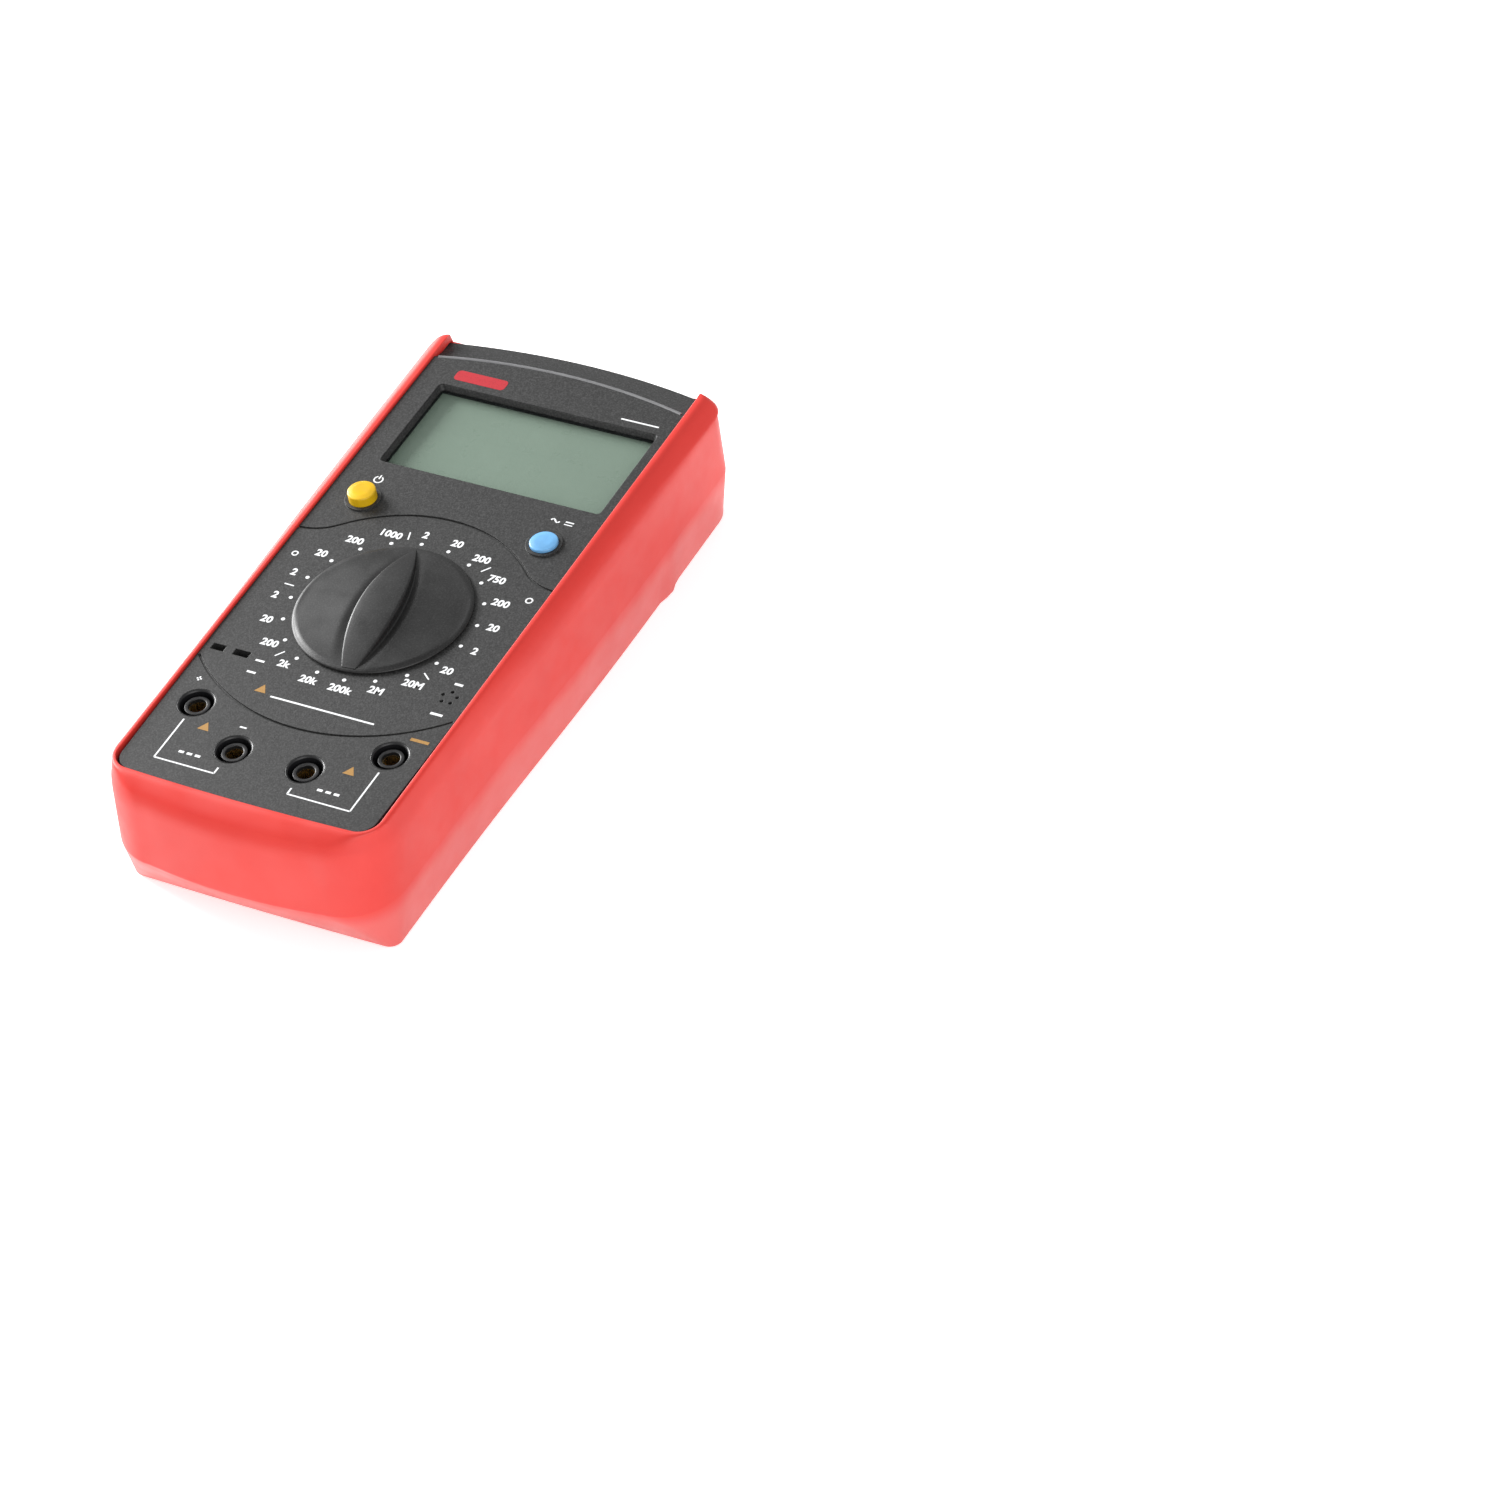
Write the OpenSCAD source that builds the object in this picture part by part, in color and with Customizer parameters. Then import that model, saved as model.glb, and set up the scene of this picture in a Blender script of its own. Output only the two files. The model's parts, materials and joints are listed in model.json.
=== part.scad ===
// Hand-held digital meter in a rubber holster, lying on its back.
// +X is the meter's right, +Y points to the display end, +Z is up out of the panel.
// The origin is on the resting surface, under the middle of the outline.

/* [Overall] */
// Length over the holster and the display end
total_length = 175; // [174:0.5:176]
// Half width of the holster beside the display
half_width_display = 40.9; // [40.6:0.1:41.5]
// Half width of the holster beside the dial
half_width_dial = 39.4; // [39.2:0.1:39.9]
// Height of the control panel above the resting surface
panel_z = 34.6; // [34.4:0.1:35]

/* [Case] */
// Half width of the case inside the holster
case_half_width = 36.6; // [36.4:0.1:36.8]
// Wall thickness of the two case halves
wall = 2; // [1.8:0.1:2.2]
// Thickness of the control panel
panel_t = 2.2; // [2:0.1:2.3]
// Height of the joint between the case halves
parting_z = 18.6; // [18.2:0.1:19]

/* [Dial] */
// Distance of the dial centre below the middle of the meter
dial_drop = 10.4; // [10:0.1:10.8]
// Radius of the knob's disc
knob_r = 21.2; // [20.5:0.1:21.6]
// Height of the grip above the panel
grip_rise = 4.2; // [3.8:0.1:4.6]
// Angle from +X that the knob points to
pointer_deg = 97.5; // [79.5:18:151.5]
// Number of switch positions
positions = 20; // [16:1:24]

/* [Display] */
// Width of the display window
window_w = 60.8; // [59:0.1:61]
// Height of the display window
window_h = 30.2; // [29:0.1:30.6]
// Distance of the window to the right of the centre line
window_x = 2; // [1.5:0.1:2.2]

/* [Buttons] */
// Radius of both button caps
button_r = 3.5; // [3.2:0.1:3.6]
// Height of the power button above the panel
power_rise = 3; // [2.6:0.1:3.2]
// Height of the function button above the panel
function_rise = 1.3; // [1.2:0.1:1.8]

/* [Sockets] */
// Bore radius of the socket tubes
plug_r = 2; // [1.98:0.01:2.02]
// Length of bore in each socket tube
plug_depth = 18.2; // [17:0.1:18.4]

/* [Tilt stand] */
// Half width of the tilt stand
stand_half = 29; // [26:0.5:30]
// Length of the tilt stand from its hinge
stand_length = 68; // [60:1:70]

/* [Hidden] */
$fn = 64;
fit_gap = 0.05;
seat = 0.1;
back_y = total_length / 2;
dial_y = -dial_drop;

// Holster
skin = 4.4;
lip_under_z = panel_z - 1.6;
lip_top_z = panel_z + 0.6;
waist_z = 14.3;
shoulder_z = 31;
corner_r = 13;
end_wall_z = 17;
end_bow = 2;
base_half = 38.6;
waist_half = 40.2;
holster_end_y = 85.8;

// Case
case_bottom = skin + 0.2;
case_foot_y = -79.5;
panel_half = case_half_width - 1.7;
panel_foot_y = -76.6;
rear_end_y = 82.7;
arch_r = 155;
step_y = 79.2;
band_under = 29;
rebate_z = lip_under_z - 0.2;
panel_under = panel_z - panel_t;
post_xy = [[31, 77.4], [-31, 77.4], [30, -73], [-30, -73]];
case_post_r = 3.6;
lip_half = panel_half + 0.8;

// Boards
board_z = 24.8;
board_t = 1.6;
board_top = board_z + board_t;
board_half = 32.4;
board_y0 = -42;
board_y1 = 74.2;
board_post_r = 2.3;
board_post_xy = [[14, 72], [-14, 72], [29.5, 12], [-29.5, 12], [16, -38.4], [-16, -38.4]];
input_z = 12.4;
input_y0 = -69.4;
input_y1 = -44;
pillar_x = 29.5;
pillar_y = input_y1 - 3.6;

// Grooves across the panel: above the dial a wide arc with a reversed arc at each end, and one below it
groove_w = 0.6;
groove_depth = 0.4;
groove_turn = 46.5;
upper_groove_r = 37.2;
upper_groove_y = dial_y - 3.8;
groove_end_r = 13.6;
groove_end_x = (upper_groove_r + groove_end_r) * cos(groove_turn);
groove_end_y = upper_groove_y + (upper_groove_r + groove_end_r) * sin(groove_turn);
lower_groove_r = 48.5;

// Display
window_y = 51.6;
lens_t = 1.4;
lens_top = panel_z - 1.6;
lens_margin = 1.1;
glass_top = lens_top - lens_t - 0.2;
glass_t = 2.6;
glass_margin = 0.6;
frame_wall = 1;

// Buttons
button_xy = [[-24.9, 22.9], [24.9, 22.9]];
plunger_r = 1.5;
collar_r = 4.5;
collar_h = 0.4;
flange_r = 4.3;
flange_t = 0.8;
flange_top = panel_under - 0.3;
power_travel = 2;
function_travel = 1.2;
power_body_top = 28.4;
function_body_top = 29.6;

// Sockets, as [x, y], from the meter's left to its right
socket_xy = [[-26.1, -52.3], [-9.6, -62.8], [9.6, -62.8], [26.1, -52.3]];
pin_hole_r = 1.25;
housing_r = 4.6;
housing_bottom = 15.6;
shroud_r = 4.05;
sleeve_r = 3.1;
tube_r = 2.6;
tube_top = panel_z - 2;

// Component socket
slot_y = -34.2;
slots = [[-31.1, 3.5], [-24.7, 4.2]];
slot_w = 2;

// Fuse, held above the input board, and the buzzer under its ring of holes
fuse_y = -50.4;
fuse_z = input_z + board_t + 4;
fuse_r = 2.5;
fuse_cap_x = 7.6;
buzzer_xy = [29.4, -30.9];

// Knob and rotary switch
disc_z = panel_z + 0.3;
disc_t = 1.1;
hub_r = 8;
rotor_r = 18.4;
rotor_z = 27.5;
rotor_t = 3.1;
square = 9;
ring_r = 19.2;
ball_r = 1.2;
ball_at = ring_r - fit_gap - ball_r;
ball_z = rotor_z + rotor_t / 2;
step_deg = 360 / positions;

// Battery
battery = [48.5, 26.5, 17.5];
battery_x0 = -21;
battery_y0 = 38;
battery_z0 = 6.9;
door_half = 30.6;
door_y0 = 35.4;
door_y1 = 67.4;
door_screw_y = door_y0 - 3.6;
snap_y = [battery_y0 + 6.9, battery_y0 + battery[1] - 6.9];

// Tilt stand
hinge_y = 47;
hinge_z = 1.95;
hinge_r = 1.6;
pin_r = 0.8;
stand_t = 2.1;
stand_z = 0.35;
pocket_gap = 0.4;

rubber_red = "#f0403a";
panel_grey = "#55565a";
black = "#1b1b1d";
brass = "#c9a24a";
steel = "#b9bcc0";
board_green = "#2f6b45";

function arc(cx, cy, r, a0, a1, n) =
    [for (i = [0:n]) let (a = a0 + (a1 - a0) * i / n) [cx + r * cos(a), cy + r * sin(a)]];
function mirrored(points) = [for (i = [len(points) - 1:-1:0]) [-points[i][0], points[i][1]]];

// Right half of a plan outline, from the middle of the foot end to the display end.
// w is [half width at the foot, beside the dial, beside the display].
function half_plan(w, foot, top, r_foot, r_top, bow) = concat(
    [for (i = [0:5]) let (x = (w[0] - r_foot) * i / 6) [x, foot - bow * (1 - pow(x / (w[0] - r_foot), 2))]],
    arc(w[0] - r_foot, foot + r_foot, r_foot, -90, 0, 8),
    [[w[1], dial_y - 20], [w[1], dial_y + 25], [w[2], 45]],
    arc(w[2] - r_top, top - r_top, r_top, 0, 90, 8));

module plan(w, foot, top, r_foot, r_top, bow) {
    right = half_plan(w, foot, top, r_foot, r_top, bow);
    polygon(concat(right, mirrored(right)));
}

module case_plan(inset = 0, top = rear_end_y) {
    w = case_half_width - inset;
    plan([w - 0.8, w, w], case_foot_y + inset, top - inset, 10 - inset / 2, 5, 0.8);
}

// The panel inside the holster's lip, grown all round by a gap.
module panel_plan(gap = 0) {
    half = panel_half + gap;
    plan([half - 0.8, half, half], panel_foot_y - gap, back_y + 6, 4.5 + gap, 5, 0.6);
}

// Region on the meter side of the arched display end.
module arch(y) {
    translate([0, y - arch_r]) circle(r = arch_r, $fn = 180);
}

module rounded_rect(size, r) {
    square([size[0], size[1] - 2 * r], center = true);
    square([size[0] - 2 * r, size[1]], center = true);
    for (x = [-1, 1], y = [-1, 1])
        translate([x * (size[0] / 2 - r), y * (size[1] / 2 - r)]) circle(r = r);
}

module slab(z0, z1) {
    translate([0, 0, z0]) linear_extrude(z1 - z0) children();
}

module at_each(places) {
    for (p = places) translate([p[0], p[1], 0]) children();
}

// Upright rod between two heights.
module rod(r, z0, z1) {
    translate([0, 0, z0]) cylinder(r = r, h = z1 - z0);
}

module tube(r_out, r_in, z0, z1) {
    difference() {
        translate([0, 0, z0]) cylinder(r = r_out, h = z1 - z0);
        translate([0, 0, z0 - 1]) cylinder(r = r_in, h = z1 - z0 + 2);
    }
}

module along_x(r, x0, x1, y, z) {
    translate([x0, y, z]) rotate([0, 90, 0]) cylinder(r = r, h = x1 - x0);
}

// Right half of the holster's cross profile, as [half width, height].
function cross_profile() = [
    [base_half, 0], [waist_half, waist_z], [half_width_display, shoulder_z],
    [base_half, lip_top_z - 2], [lip_half, lip_top_z]];

// Outer form of the holster: plan outline cut by the end profile and the cross profile.
module holster_form() {
    foot = -back_y;
    top = holster_end_y;
    intersection() {
        slab(0, lip_top_z)
            plan([half_width_dial - 0.9, half_width_dial, half_width_display],
                foot + end_bow, top, corner_r, 6, end_bow);
        translate([-50, 0, 0]) rotate([90, 0, 90]) linear_extrude(100)
            polygon([[foot + 9, 0], [foot + 6.2, 3.4], [foot, waist_z], [foot + 2.9, shoulder_z],
                [foot + 6, lip_top_z - 2], [panel_foot_y - 0.8, lip_top_z], [top - 4, lip_top_z],
                [top - 1, shoulder_z], [top, waist_z], [top - 4, 0]]);
        translate([0, 100, 0]) rotate([90, 0, 0]) linear_extrude(200)
            polygon(concat(cross_profile(), mirrored(cross_profile())));
    }
}

module holster() {
    pocket = stand_half + pocket_gap;
    color(rubber_red) difference() {
        holster_form();
        slab(skin, lip_under_z) case_plan(-0.15, rear_end_y);
        slab(end_wall_z, lip_under_z) intersection() {
            case_plan(-0.15, back_y + 6);
            arch(back_y + 0.2);
        }
        slab(lip_under_z - 1, lip_top_z + 1)
            panel_plan(0.15);
        translate([-pocket, hinge_y - stand_length - 1, -1]) cube([2 * pocket, stand_length + 1, 3.9]);
        along_x(hinge_r + 0.3, -pocket, pocket, hinge_y, hinge_z);
        translate([-pocket, hinge_y - hinge_r - 0.3, -1]) cube([2 * pocket, 2 * hinge_r + 0.6, hinge_z + 1]);
        along_x(pin_r + 0.01, -pocket - 4, pocket + 4, hinge_y, hinge_z);
        translate([-8, hinge_y - stand_length - 9, -1]) cube([16, 9, 3.4]);
    }
}

module tilt_stand() {
    free_y = hinge_y - stand_length;
    color(rubber_red) difference() {
        union() {
            translate([-stand_half, free_y, stand_z]) cube([2 * stand_half, stand_length, stand_t]);
            along_x(hinge_r, -stand_half, stand_half, hinge_y, hinge_z);
            for (x = [-22, -11, 0, 11, 22])
                translate([x - 0.6, free_y + 8, stand_z + 0.1]) cube([1.2, stand_length - 18, stand_t + 0.15]);
        }
        along_x(pin_r + 0.06, -stand_half - 1, stand_half + 1, hinge_y, hinge_z);
        translate([-15, free_y + 14, stand_z - 1]) cube([30, 34, 1.5]);
    }
}

module stand_pin() {
    color(steel) along_x(pin_r, -stand_half - 3.6, stand_half + 3.6, hinge_y, hinge_z);
}

// One arc of the grooves that run across the panel.
module groove(r, cx, cy, a0, a1) {
    translate([cx, cy, panel_z - groove_depth]) rotate([0, 0, a0])
        rotate_extrude(angle = a1 - a0, $fn = 160) translate([r - groove_w / 2, 0]) square([groove_w, 2]);
}

// Outline of the display window, grown all round by a margin.
module window_outline(margin) {
    translate([window_x, window_y]) rounded_rect([window_w + 2 * margin, window_h + 2 * margin], 1.1);
}

module front_case() {
    color(panel_grey) difference() {
        union() {
            difference() {
                union() {
                    slab(parting_z + seat, rebate_z) intersection() {
                        case_plan(0, back_y + 6);
                        arch(back_y);
                    }
                    slab(rebate_z - 0.5, panel_z) intersection() {
                        panel_plan();
                        arch(back_y);
                    }
                }
                slab(parting_z - 1, band_under) intersection() {
                    case_plan(wall, back_y + 6);
                    arch(back_y - wall);
                }
                slab(band_under - 1, panel_under) intersection() {
                    case_plan(wall, back_y + 6);
                    arch(step_y - 1);
                }
                // the band beyond the arched step slopes down to the display end
                difference() {
                    translate([-50, step_y - 6, panel_z - 0.2]) rotate([-12, 0, 0]) cube([100, 40, 12]);
                    slab(0, 60) arch(step_y);
                }
            }
            at_each(post_xy) rod(case_post_r - 0.6, parting_z + seat, panel_under + seat);
            at_each(board_post_xy) rod(board_post_r, board_top, panel_under + 0.5);
            at_each(button_xy) rod(collar_r, panel_under - 0.2, panel_z + collar_h);
        }
        slab(lens_top - 1, panel_z + 1) window_outline(0);
        slab(panel_under - 1, lens_top) window_outline(lens_margin + 0.1);
        translate([0, dial_y, 0]) rod(hub_r + fit_gap, panel_under - 1, panel_z + 1);
        at_each(button_xy) rod(button_r + 0.08, panel_under - 1, panel_z + 1);
        at_each(socket_xy) rod(housing_r + fit_gap, panel_under - 1, panel_z + 1);
        for (s = slots)
            slab(panel_under - 1, panel_z + 1) translate([s[0], slot_y]) square([s[1], slot_w], center = true);
        for (a = [0:4])
            at_each([buzzer_xy]) rotate([0, 0, 72 * a + 20]) translate([1.9, 0, 0])
                rod(0.45, panel_under - 1, panel_z + 1);
        groove(upper_groove_r, 0, upper_groove_y, groove_turn, 180 - groove_turn);
        groove(groove_end_r, groove_end_x, groove_end_y, 180 + groove_turn, 270);
        groove(groove_end_r, -groove_end_x, groove_end_y, 270, 360 - groove_turn);
        groove(lower_groove_r, 0, dial_y + 7, 225, 315);
        at_each(post_xy) rod(1.25, parting_z - 1, parting_z + 8);
        at_each(board_post_xy) rod(0.95, board_top - 1, board_top + 5);
    }
}

module rear_case() {
    door_cut = 0.15;
    color(black) difference() {
        union() {
            difference() {
                slab(case_bottom, parting_z) case_plan();
                slab(case_bottom + wall, parting_z + 1) case_plan(wall);
                // bevel along the lower edge of the foot end
                translate([-50, case_foot_y - 1, case_bottom - 1]) rotate([45, 0, 0])
                    translate([0, -4, -4]) cube([100, 4.6, 8]);
            }
            at_each(post_xy) rod(case_post_r, case_bottom + 0.5, parting_z);
            // walls of the battery bay
            for (y = [door_y0 - 1.6, door_y1])
                translate([-door_half, y, case_bottom + 1]) cube([2 * door_half, 1.6, 14]);
            for (x = [-31, 31])
                translate([x - 0.8, 20, case_bottom + 1]) cube([1.6, 8, 12]);
            for (x = [-20, 20])
                translate([x - 0.8, -66, case_bottom + 1]) cube([1.6, 20, 6.7]);
        }
        translate([-door_half - door_cut, door_y0 - door_cut, case_bottom - 1])
            cube([2 * (door_half + door_cut), door_y1 - door_y0 + 2 * door_cut, wall + 1]);
        at_each(post_xy) {
            rod(2.9, case_bottom - 1, case_bottom + 2.4);
            rod(1.6, case_bottom, case_bottom + 20);
        }
        translate([0, door_screw_y, 0]) {
            rod(2.4, case_bottom - 1, case_bottom + 1);
            rod(1.05, case_bottom - 1, case_bottom + 7);
        }
    }
}

module battery_door() {
    color(black) difference() {
        union() {
            translate([-door_half, door_y0, case_bottom]) cube([2 * door_half, door_y1 - door_y0, 1.6]);
            for (x = [-20:5:20])
                translate([x - 0.5, door_y0 + 4, case_bottom + 1.6]) cube([1, 24, 0.4]);
        }
        for (y = [0:2]) translate([-9, door_y1 - 5 - 2.4 * y, case_bottom - 1]) cube([18, 1.2, 1.5]);
    }
}

module pan_screw(head_r, head_h, shank_r, length) {
    difference() {
        union() {
            cylinder(r = head_r, h = head_h);
            cylinder(r = shank_r, h = length);
        }
        for (a = [0, 90]) rotate([0, 0, a])
            translate([-head_r * 0.6, -0.3, -1]) cube([head_r * 1.2, 0.6, 1 + head_h * 0.55]);
    }
}

module door_screw() {
    color(steel) translate([0, door_screw_y, case_bottom + 0.1]) pan_screw(2.2, 0.85, 1, 1.85);
}

module case_screws() {
    color(steel) at_each(post_xy) translate([0, 0, case_bottom + 0.5]) pan_screw(2.7, 1.8, 1.2, 20.5);
}

module window_lens() {
    color([0.9, 0.95, 0.95, 0.4]) slab(lens_top - lens_t, lens_top) window_outline(lens_margin);
}

module lcd_glass() {
    w = window_w + 2 * glass_margin;
    h = window_h + 2 * glass_margin;
    color("#8d9f92") translate([window_x, window_y, glass_top]) {
        translate([-w / 2, -h / 2, -glass_t / 2]) cube([w, h, glass_t / 2]);
        translate([-w / 2 + 0.4, -h / 2 + 0.4, -glass_t]) cube([w - 0.8, h - 0.8, glass_t / 2]);
    }
}

module lcd_frame() {
    w = window_w + 2 * glass_margin + 0.3;
    h = window_h + 2 * glass_margin + 0.3;
    color(black) difference() {
        slab(board_top, glass_top) window_outline(glass_margin + 0.15 + frame_wall);
        translate([window_x - w / 2, window_y - h / 2, board_top - 1]) cube([w, h, 10]);
    }
}

module zebra_strips() {
    color("#d8a0a8") slab(board_top, glass_top - glass_t) for (s = [-1, 1])
        translate([window_x, window_y + s * (window_h / 2 - 1.2)]) square([56, 2], center = true);
}

module main_board() {
    color(board_green) difference() {
        translate([-board_half, board_y0, board_z]) cube([2 * board_half, board_y1 - board_y0, board_t]);
        at_each(board_post_xy) rod(1.2, board_z - 1, board_z + 3);
        at_each([button_xy[0]]) slab(board_z - 1, board_z + 3) square(8.2, center = true);
        for (s = [-1, 1]) translate([s * pillar_x, board_y0 + 2.2, board_z - 1]) cylinder(r = 1.1, h = 4);
        translate([0, dial_y, board_z - 1]) cylinder(r = 3.6, h = 4);
    }
}

module switch_tracks() {
    color("#d6b25c") translate([0, dial_y, 0]) for (k = [0:3])
        tube(7.6 + 2.8 * k, 6.2 + 2.8 * k, board_top, board_top + 0.1);
}

module converter_chip() {
    color(black) translate([0, dial_y, board_z - 2.2]) {
        translate([-7, -7, 0]) cube([14, 14, 1.9]);
        for (s = [-1, 1], i = [-5:5]) {
            translate([i * 1.2 - 0.2, s * 8 - 1, 0.9]) cube([0.4, 2, 1.3]);
            translate([s * 8 - 1, i * 1.2 - 0.2, 0.9]) cube([2, 0.4, 1.3]);
        }
    }
}

module film_capacitors() {
    color("#c8a23a") for (i = [0:4]) translate([-24 + 12 * i, -30, board_z - 8]) {
        cube([8, 3.6, 7]);
        for (x = [1.2, 6.4]) translate([x, 1.5, 6.5]) cube([0.5, 0.5, 1.5]);
    }
}

module trimmers() {
    color("#3f6fb5") for (i = [-1:1]) translate([i * 10, 26, board_z - 4.2]) difference() {
        translate([-3.3, -3.3, 0]) cube([6.6, 6.6, 4.2]);
        translate([0, 0, -1]) cylinder(r = 1.5, h = 2);
    }
}

module crystal() {
    color(steel) slab(board_z - 3.6, board_z) translate([19, 8]) rounded_rect([10.4, 4.2], 2);
}

module board_screws() {
    color(steel) at_each(board_post_xy) translate([0, 0, board_z - 1.4]) pan_screw(2, 1.4, 0.9, 7.4);
}

module input_board() {
    color(board_green) difference() {
        translate([-board_half, input_y0, input_z]) cube([2 * board_half, input_y1 - input_y0, board_t]);
        at_each(socket_xy) rod(pin_hole_r, input_z - 1, input_z + 3);
        for (s = [-1, 1]) translate([s * pillar_x, pillar_y + 1, input_z - 1]) cylinder(r = 1.1, h = 4);
    }
}

module board_pillars() {
    color(brass) for (s = [-1, 1]) {
        // each pillar is a bent ribbon of pins that joins the two boards
        translate([s * pillar_x - 2, pillar_y, input_z + board_t])
            cube([4, 1, board_z - input_z - board_t + 3.2]);
        translate([s * pillar_x - 2, pillar_y, board_z + board_t]) cube([4, 6.6, 1]);
    }
}

// Shrouded socket: outer wall, ring-shaped space for a plug's sleeve, and a centre sleeve round the tube.
module socket_housing(k) {
    color(black) at_each([socket_xy[k]]) rotate_extrude() difference() {
        translate([0, housing_bottom]) square([housing_r, panel_z - housing_bottom]);
        translate([-1, housing_bottom - 1]) square([tube_r + 0.02 + 1, 30]);
        translate([sleeve_r, housing_bottom + 2]) square([shroud_r - sleeve_r, 30]);
        translate([0, panel_z - 0.9]) square([shroud_r, 5]);
    }
}

module socket_tube(k) {
    color(brass) at_each([socket_xy[k]]) difference() {
        union() {
            rod(tube_r, input_z + board_t, tube_top);
            rod(pin_hole_r - 0.05, input_z - 1, input_z + 3);
        }
        rod(plug_r, tube_top - plug_depth, tube_top + 1);
    }
}

module component_socket() {
    color(black) difference() {
        slab(board_top, panel_under - 0.05) translate([-27.8, slot_y]) rounded_rect([12.4, 5.4], 0.8);
        for (s = slots)
            translate([s[0] - s[1] / 2, slot_y - slot_w / 2, board_top + 1]) cube([s[1], slot_w, 10]);
    }
}

module component_contacts() {
    color(brass) slab(board_top + 1, board_top + 5) for (s = slots, y = [-1, 1])
        translate([s[0], slot_y + y * (slot_w / 2 - 0.2)]) square([s[1] - 1, 0.3], center = true);
}

// Arched grip: a lens-shaped plan, cut by a wide ball so that it falls to the disc at both ends.
module knob() {
    grip_half = 4.8;
    lens_r = (pow(knob_r, 2) + pow(grip_half, 2)) / (2 * grip_half);
    ball = 70;
    color(black) translate([0, dial_y, 0]) rotate([0, 0, pointer_deg - 90]) {
        translate([0, 0, disc_z]) cylinder(r1 = knob_r + 0.5, r2 = knob_r, h = disc_t);
        intersection() {
            slab(disc_z, panel_z + grip_rise + 1) intersection() {
                translate([lens_r - grip_half, 0]) circle(r = lens_r, $fn = 120);
                translate([grip_half - lens_r, 0]) circle(r = lens_r, $fn = 120);
            }
            translate([0, 0, panel_z + grip_rise - ball]) sphere(r = ball, $fn = 120);
            translate([0, 0, disc_z]) cylinder(r = knob_r, h = 10);
        }
        translate([0, 0, rotor_z + rotor_t + 0.1]) cylinder(r = hub_r, h = disc_z - rotor_z - rotor_t);
        translate([-square / 2, -square / 2, rotor_z]) cube([square, square, rotor_t + 1]);
        translate([0, 0, rotor_z - 0.7]) cylinder(r = 3.9, h = 1);
    }
}

module rotor() {
    color("#e8e4d8") translate([0, dial_y, 0]) rotate([0, 0, pointer_deg - 90]) difference() {
        translate([0, 0, rotor_z]) cylinder(r = rotor_r, h = rotor_t);
        slab(rotor_z - 1, rotor_z + rotor_t + 1) square(square + 0.06, center = true);
        for (a = [90, 270]) rotate([0, 0, a]) along_x(ball_r + fit_gap, 11.9, rotor_r + 1, 0, ball_z);
        for (s = [-1, 1]) translate([s * 12.5, 0, 0]) rod(2.6, rotor_z - 1, rotor_z + rotor_t + 1);
    }
}

module rotor_wipers() {
    color(brass) translate([0, dial_y, 0]) rotate([0, 0, pointer_deg - 90])
        for (a = [45, 135, 225, 315]) rotate([0, 0, a]) {
            translate([7, -0.8, rotor_z - 0.3]) cube([10, 1.6, 0.3]);
            for (k = [0:3]) translate([6.9 + 2.8 * k, 0, rotor_z - 0.7]) cylinder(r = 0.5, h = 0.5);
        }
}

module detent_balls() {
    color(steel) translate([0, dial_y, ball_z]) rotate([0, 0, pointer_deg - 90])
        for (a = [90, 270]) rotate([0, 0, a]) translate([ball_at, 0, 0]) sphere(r = ball_r);
}

module detent_springs() {
    coils = 5;
    span = ball_at - ball_r - 12;
    color(steel) translate([0, dial_y, ball_z]) rotate([0, 0, pointer_deg - 90])
        for (a = [90, 270], k = [0:coils - 1]) rotate([0, 0, a])
            translate([12.2 + (span - 0.4) * k / (coils - 1), 0, 0]) rotate([0, 90, 0])
                rotate_extrude() translate([0.8, 0]) circle(r = 0.2, $fn = 16);
}

module detent_ring() {
    color("#e8e4d8") translate([0, dial_y, 0]) difference() {
        tube(ring_r + 2, ring_r, rotor_z + 0.4, panel_under);
        for (k = [0:positions - 1]) rotate([0, 0, pointer_deg + k * step_deg])
            translate([ring_r + 0.4, 0, rotor_z]) cylinder(r = 0.9, h = rotor_t + 0.4);
    }
}

module retaining_clip() {
    color(steel) translate([0, dial_y, 0]) rotate([0, 0, pointer_deg - 90]) difference() {
        tube(5.9, 3.92, rotor_z - 0.5, rotor_z - 0.05);
        translate([-1.5, 2, rotor_z - 2]) cube([3, 5, 4]);
    }
}

module button_cap(rise, bottom) {
    top = panel_z + rise;
    edge = 0.8;
    rotate_extrude() difference() {
        union() {
            translate([0, bottom]) square([button_r, top - bottom - edge]);
            translate([0, bottom]) square([button_r - edge, top - bottom]);
            translate([button_r - edge, top - edge]) circle(r = edge);
            translate([0, flange_top - flange_t]) square([flange_r, flange_t]);
        }
        translate([-1, bottom - 1]) square([1 + plunger_r + 0.02, flange_top + 1 - bottom]);
    }
}

module power_button() {
    color("#ffd028") at_each([button_xy[0]]) button_cap(power_rise, flange_top - flange_t - 0.3);
}

module power_plunger() {
    color("#e8e8e8") at_each([button_xy[0]]) rod(plunger_r, power_body_top - 1.5, flange_top);
}

module power_switch() {
    color("#2c2c30") at_each([button_xy[0]]) difference() {
        slab(power_body_top - 9.4, power_body_top) square(8, center = true);
        rod(plunger_r + 0.06, power_body_top - 1.5 - power_travel - 0.3, power_body_top + 1);
    }
}

module function_button() {
    color("#8cc8ff") at_each([button_xy[1]]) button_cap(function_rise, flange_top - flange_t);
}

module function_plunger() {
    color("#e8e8e8") at_each([button_xy[1]]) rod(plunger_r, function_body_top - 1, flange_top);
}

module function_switch() {
    color("#2c2c30") at_each([button_xy[1]]) difference() {
        slab(board_top, function_body_top) square(6.2, center = true);
        rod(plunger_r + 0.06, function_body_top - 1 - function_travel - 0.3, function_body_top + 1);
    }
}

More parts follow.
